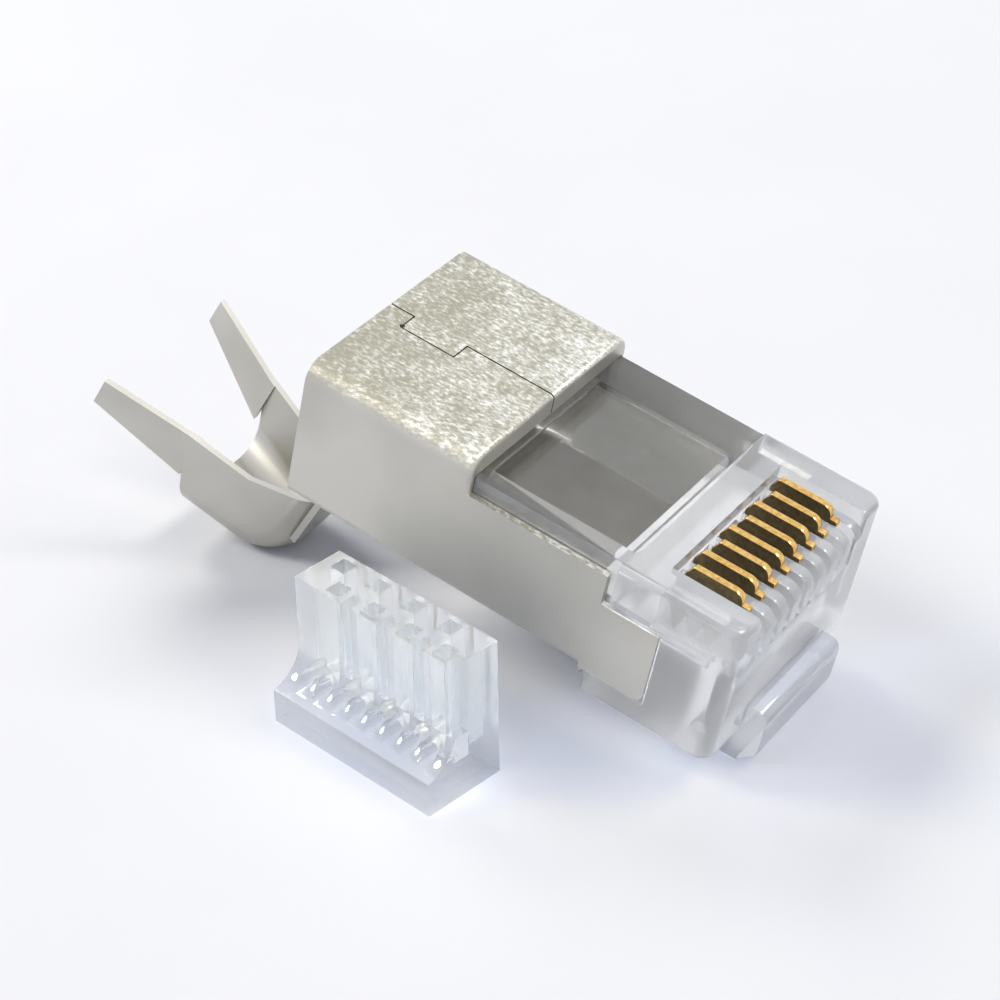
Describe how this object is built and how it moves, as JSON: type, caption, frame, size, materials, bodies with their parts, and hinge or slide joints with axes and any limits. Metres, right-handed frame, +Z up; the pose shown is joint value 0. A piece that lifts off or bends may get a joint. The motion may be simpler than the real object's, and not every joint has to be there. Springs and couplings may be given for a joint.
{
  "type": "rj45 modular plug",
  "caption": "Clear modular network plug with gold contacts, a folded metal shield with a two-pronged crimp tail, a sprung latch and its wire-guide bar.",
  "frame": {"origin": "centre of the nose's front face, the end that enters the jack", "axes": "+Z up from the table the plug stands on, +Y horizontally to the rear where the cable enters, +X across the contacts; the plug's own axis dips 12.67 degrees towards the nose"},
  "size_m": [0.0186, 0.0337, 0.014],
  "materials": {
    "nickel_sheet": "satin nickel-plated sheet, grainy on top",
    "clear_plastic": "clear moulded polycarbonate",
    "gold_plate": "gold-plated bronze, polished crown"
  },
  "bodies": {
    "plug": {"metal_shield": "nickel_sheet", "housing": "clear_plastic", "contact_1": "gold_plate", "contact_2": "gold_plate", "contact_3": "gold_plate", "contact_4": "gold_plate", "contact_5": "gold_plate", "contact_6": "gold_plate", "contact_7": "gold_plate", "contact_8": "gold_plate", "wire_guide_bar": "clear_plastic"},
    "latch_lever": {"latch": "clear_plastic"}
  },
  "joints": [
    {"name": "latch_flex", "type": "hinge", "parent": "plug", "child": "latch_lever", "pos_m": [0, 0.00178, -0.00312], "axis": [1, 0, 0], "range_deg": [0, 11], "stiffness_Nm_per_rad": 0.29}
  ]
}
